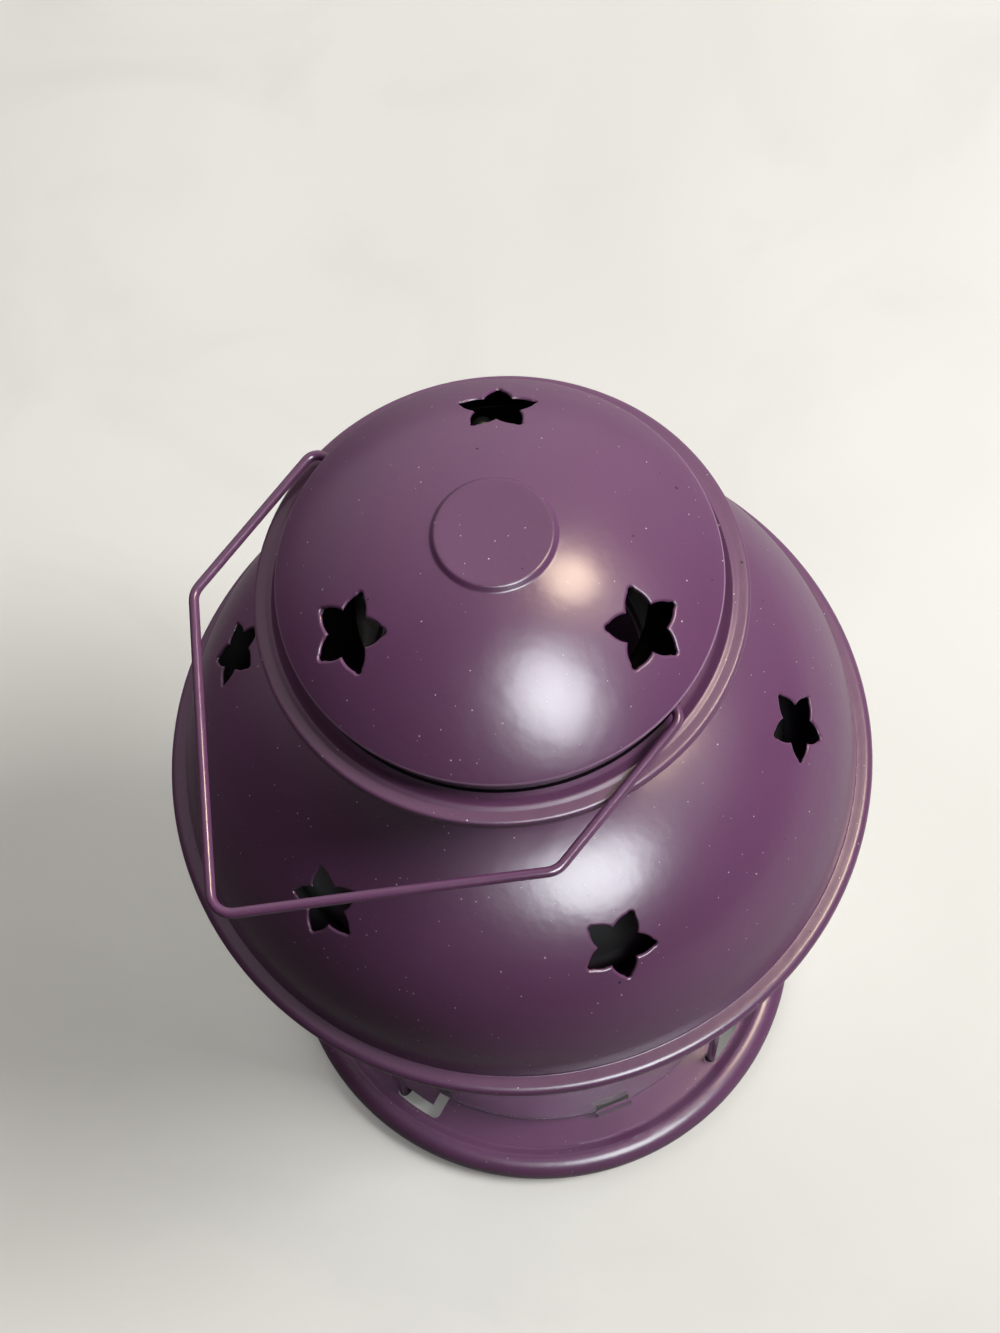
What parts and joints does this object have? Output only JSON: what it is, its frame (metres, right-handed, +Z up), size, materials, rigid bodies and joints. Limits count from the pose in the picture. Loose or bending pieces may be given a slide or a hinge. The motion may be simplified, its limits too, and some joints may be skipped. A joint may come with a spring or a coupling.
{
  "type": "punched tin lantern",
  "caption": "Round tealight lantern with a glass chimney between wire uprights, a domed roof and cap with star cut-outs, and a folding wire bail.",
  "frame": {"origin": "middle of the base, on the table plane", "axes": "+Z up along the lantern's axis, X along the bail's pivots, the bail folds toward -Y"},
  "size_m": [0.128, 0.1287, 0.2105],
  "materials": {
    "powder_coated_steel": "satin",
    "soda_lime_glass": "clear",
    "bare_tinplate": "dull"
  },
  "bodies": {
    "base": {"base_dish": "powder_coated_steel", "candle_cup": "bare_tinplate", "cup_rivet": "bare_tinplate", "glass_chimney": "soda_lime_glass"},
    "hood": {"upright_right": "powder_coated_steel", "upright_back": "powder_coated_steel", "upright_left": "powder_coated_steel", "upright_front": "powder_coated_steel", "glass_retainer": "powder_coated_steel", "roof_shell": "powder_coated_steel", "roof_rivets": "bare_tinplate", "neck_collar": "powder_coated_steel", "cap_brim": "powder_coated_steel", "cap_dome": "powder_coated_steel", "cap_rivets": "bare_tinplate"},
    "bail": {"bail_handle": "powder_coated_steel"}
  },
  "joints": [
    {"name": "hood_twist", "type": "hinge", "parent": "base", "child": "hood", "pos_m": [0, 0, 0.0052], "axis": [0, 0, 1], "range_deg": [0, 10]},
    {"name": "bail_swing", "type": "hinge", "parent": "hood", "child": "bail", "pos_m": [0, 0, 0.19353], "axis": [-1, 0, 0], "range_deg": [0, 191.2]}
  ]
}
